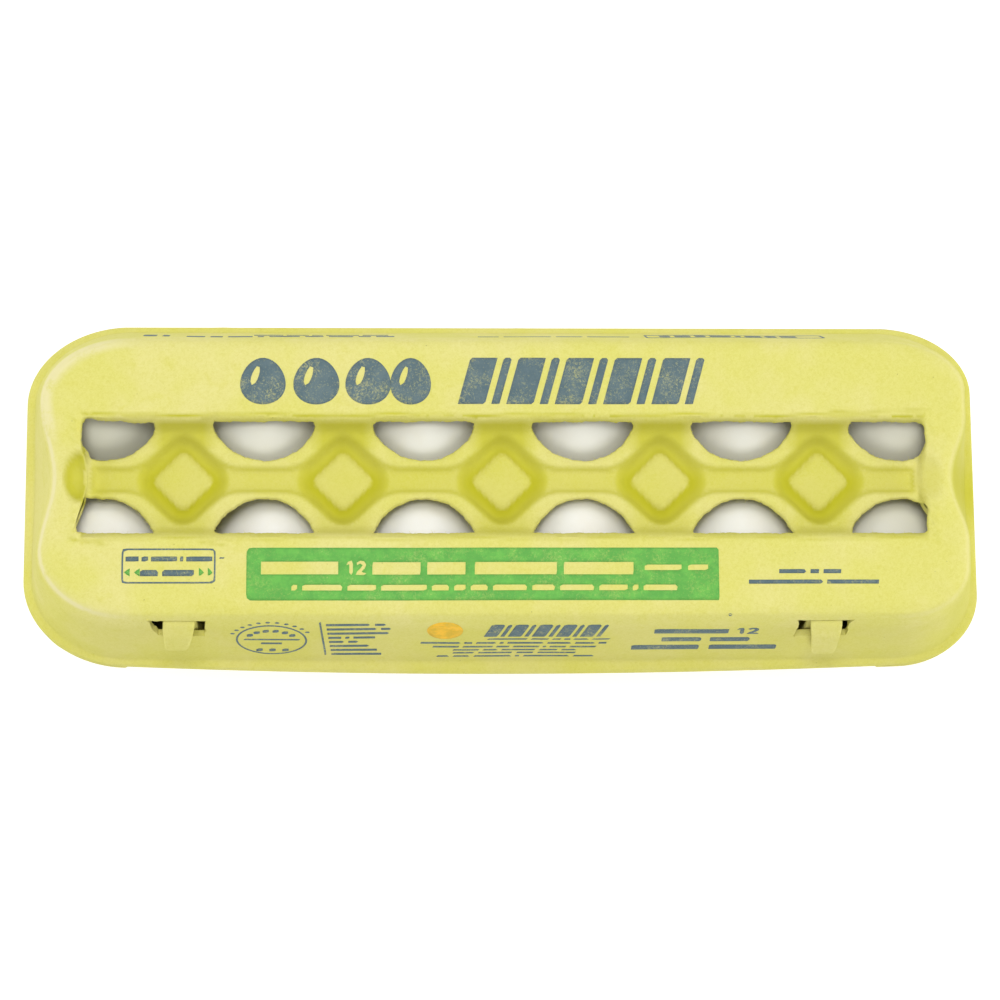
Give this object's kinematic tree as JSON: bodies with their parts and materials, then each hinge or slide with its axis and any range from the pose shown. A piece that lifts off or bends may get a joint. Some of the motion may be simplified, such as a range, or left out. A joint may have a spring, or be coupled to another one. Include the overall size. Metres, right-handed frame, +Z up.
{
  "type": "egg carton with eggs",
  "caption": "Shut moulded-pulp egg carton with a hinged lid, viewing windows over the eggs, a sunken middle band and a front flap whose tabs lock through slots.",
  "frame": {"origin": "middle of the bounding box in plan, at the height of the cups' bottoms", "axes": "+X along the carton to the right as seen from the front, +Y to the back rim with the hinge, +Z up"},
  "size_m": [0.3, 0.1108, 0.07],
  "materials": {
    "pulp": "matt moulded paper pulp, lime yellow, printed on top and front",
    "eggshell": "matt white eggshell"
  },
  "bodies": {
    "tray": {"tray": "pulp", "egg_back_1": "eggshell", "egg_back_2": "eggshell", "egg_back_3": "eggshell", "egg_back_4": "eggshell", "egg_back_5": "eggshell", "egg_back_6": "eggshell", "egg_front_1": "eggshell", "egg_front_2": "eggshell", "egg_front_3": "eggshell", "egg_front_4": "eggshell", "egg_front_5": "eggshell", "egg_front_6": "eggshell"},
    "lid": {"lid": "pulp"},
    "flap": {"flap": "pulp"}
  },
  "joints": [
    {"name": "lid_hinge", "type": "hinge", "parent": "tray", "child": "lid", "pos_m": [0, 0.05557, 0.036], "axis": [-1, 0, 0], "range_deg": [0, 180]},
    {"name": "flap_fold", "type": "hinge", "parent": "tray", "child": "flap", "pos_m": [0, -0.04902, 0.036], "axis": [-1, 0, 0], "range_deg": [0, 5], "stiffness_Nm_per_rad": 0.02, "springref_deg": -17.19}
  ]
}
